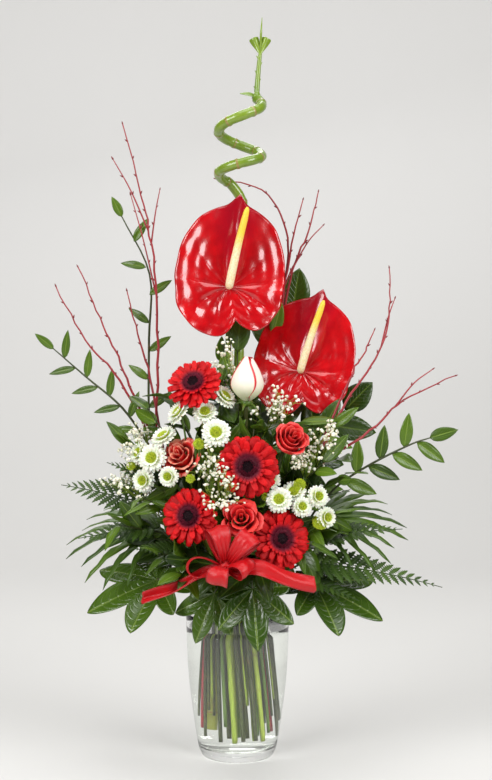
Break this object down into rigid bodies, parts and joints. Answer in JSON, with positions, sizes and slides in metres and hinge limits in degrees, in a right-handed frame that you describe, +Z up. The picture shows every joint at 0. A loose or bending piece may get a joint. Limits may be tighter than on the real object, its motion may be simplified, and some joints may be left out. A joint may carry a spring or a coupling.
{
  "type": "anthurium bouquet in a glass vase",
  "caption": "Bouquet of glossy red anthuriums, gerberas, roses, small chrysanthemums, red twigs, spiral bamboo and foliage with a ribbon bow, standing in water in a clear glass vase",
  "frame": {"origin": "on the surface that the vase stands on, at the vase's axis, the middle of its underside", "axes": "+Z up along the vase's axis, -Y towards the front of the bouquet, which the anthuriums face, +X to its right seen from the front"},
  "size_m": [0.4559, 0.2213, 0.817],
  "materials": {
    "clear_glass": "clear, polished",
    "clear_water": "clear, still",
    "bamboo_skin": "waxy, with pale rings",
    "spathe_red": "lacquered, quilted",
    "spadix_yellow": "finely knobbed",
    "petal_red": "velvety",
    "disc_maroon": "matt, fibrous",
    "rose_red": "soft",
    "rose_cream": "soft, red at the edges",
    "mum_white": "matt, greenish in the middle",
    "stem_green": "matt",
    "button_green": "matt",
    "gypsophila_white": "papery",
    "twig_bark": "smooth crimson bark",
    "leaf_green": "satin",
    "leaf_dark": "satin",
    "ribbon_red": "satin"
  },
  "bodies": {
    "root": {"vase": "clear_glass", "water": "clear_water", "bamboo_stalk": "bamboo_skin", "anthurium_high_spathe": "spathe_red", "anthurium_high_spadix": "spadix_yellow", "anthurium_high_stem": "stem_green", "anthurium_low_spathe": "spathe_red", "anthurium_low_spadix": "spadix_yellow", "anthurium_low_stem": "stem_green", "gerbera_upper_rays": "petal_red", "gerbera_upper_eye": "disc_maroon", "gerbera_upper_stem": "stem_green", "gerbera_centre_rays": "petal_red", "gerbera_centre_eye": "disc_maroon", "gerbera_centre_stem": "stem_green", "gerbera_left_rays": "petal_red", "gerbera_left_eye": "disc_maroon", "gerbera_left_stem": "stem_green", "gerbera_right_rays": "petal_red", "gerbera_right_eye": "disc_maroon", "gerbera_right_stem": "stem_green", "rose_bud_bloom": "rose_cream", "rose_bud_stem": "stem_green", "rose_left_bloom": "rose_red", "rose_left_stem": "stem_green", "rose_right_bloom": "rose_red", "rose_right_stem": "stem_green", "rose_low_bloom": "rose_red", "rose_low_stem": "stem_green", "mum_left_1": "mum_white", "mum_left_2": "mum_white", "mum_left_3": "mum_white", "mum_left_4": "mum_white", "mum_left_5": "mum_white", "mum_right_1": "mum_white", "mum_right_2": "mum_white", "mum_right_3": "mum_white", "mum_spray_left": "button_green", "mum_spray_right": "button_green", "ribbon_bow": "ribbon_red", "aralia_front_left": "leaf_green", "aralia_front_right": "leaf_green", "aralia_left": "leaf_green", "aralia_right": "leaf_green", "twigs_left": "twig_bark", "twigs_right": "twig_bark", "twigs_back": "twig_bark", "palm_left": "leaf_dark", "fern_left": "leaf_dark", "palm_right": "leaf_dark", "fern_right": "leaf_dark", "ruscus_left": "leaf_green", "ruscus_high": "leaf_green", "ruscus_right": "leaf_green", "salal_back": "leaf_dark", "salal_side": "leaf_dark", "gypsophila_upper": "gypsophila_white", "gypsophila_right": "gypsophila_white", "gypsophila_left": "gypsophila_white", "gypsophila_front": "gypsophila_white"}
  },
  "joints": []
}
